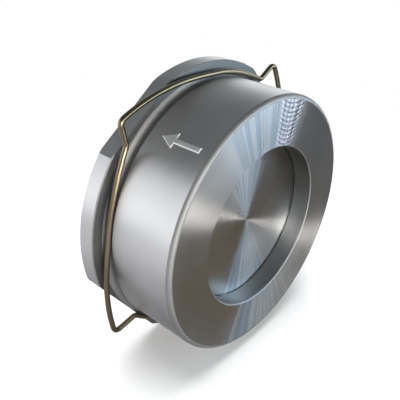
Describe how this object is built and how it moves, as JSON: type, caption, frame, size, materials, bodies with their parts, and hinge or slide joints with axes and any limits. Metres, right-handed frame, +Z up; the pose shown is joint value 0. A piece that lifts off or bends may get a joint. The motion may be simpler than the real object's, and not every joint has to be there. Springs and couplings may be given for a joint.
{
  "type": "wafer check valve",
  "caption": "Stainless wafer check valve for clamping between pipe flanges: ring body, spring-loaded disc on a guide stem, bent-wire centring ring in an outer groove.",
  "frame": {"origin": "centre of the inlet sealing face, on the flow axis, where the pipe flanges clamp the valve", "axes": "+Y along the flow, from inlet to outlet; +Z up as the valve is shown in the picture"},
  "size_m": [0.1778, 0.06, 0.1778],
  "materials": {
    "cast_stainless": "cast stainless steel, satin outside, lathe-turned faces",
    "turned_stainless": "lathe-turned, bright",
    "plate_stainless": "satin",
    "fastener_steel": "plain bright",
    "spring_steel": "drawn wire, bright",
    "ring_wire": "drawn spring wire with an olive-brown tint, shiny",
    "bronze": "satin bearing bronze",
    "seal_rubber": "matt"
  },
  "bodies": {
    "base": {"valve_body": "cast_stainless", "seat_o_ring": "seal_rubber", "closing_spring": "spring_steel", "guide_spider": "plate_stainless", "guide_sleeve": "turned_stainless", "guide_bush": "bronze", "bush_retaining_ring": "spring_steel", "spider_screw_1": "fastener_steel", "spider_screw_2": "fastener_steel", "spider_screw_3": "fastener_steel", "spider_screw_4": "fastener_steel", "spider_lock_washer_1": "fastener_steel", "spider_lock_washer_2": "fastener_steel", "spider_lock_washer_3": "fastener_steel", "spider_lock_washer_4": "fastener_steel"},
    "lift_carrier": {"spring_seat_cup": "plate_stainless"},
    "disc": {"valve_disc": "turned_stainless", "disc_stem": "turned_stainless"},
    "ring": {"centring_ring": "ring_wire"}
  },
  "joints": [
    {"name": "disc_lift", "type": "slide", "parent": "base", "child": "lift_carrier", "axis": [0, 1, 0], "range_m": [0, 0.014], "stiffness_N_per_m": 560, "springref_m": -0.0284, "deforming": ["closing_spring"]},
    {"name": "disc_spin", "type": "hinge", "parent": "lift_carrier", "child": "disc", "pos_m": [0, 0.0163, 0], "axis": [0, 1, 0], "continuous": true},
    {"name": "centring_ring_turn", "type": "hinge", "parent": "base", "child": "ring", "pos_m": [0, 0.0453, 0], "axis": [0, 1, 0], "continuous": true}
  ]
}
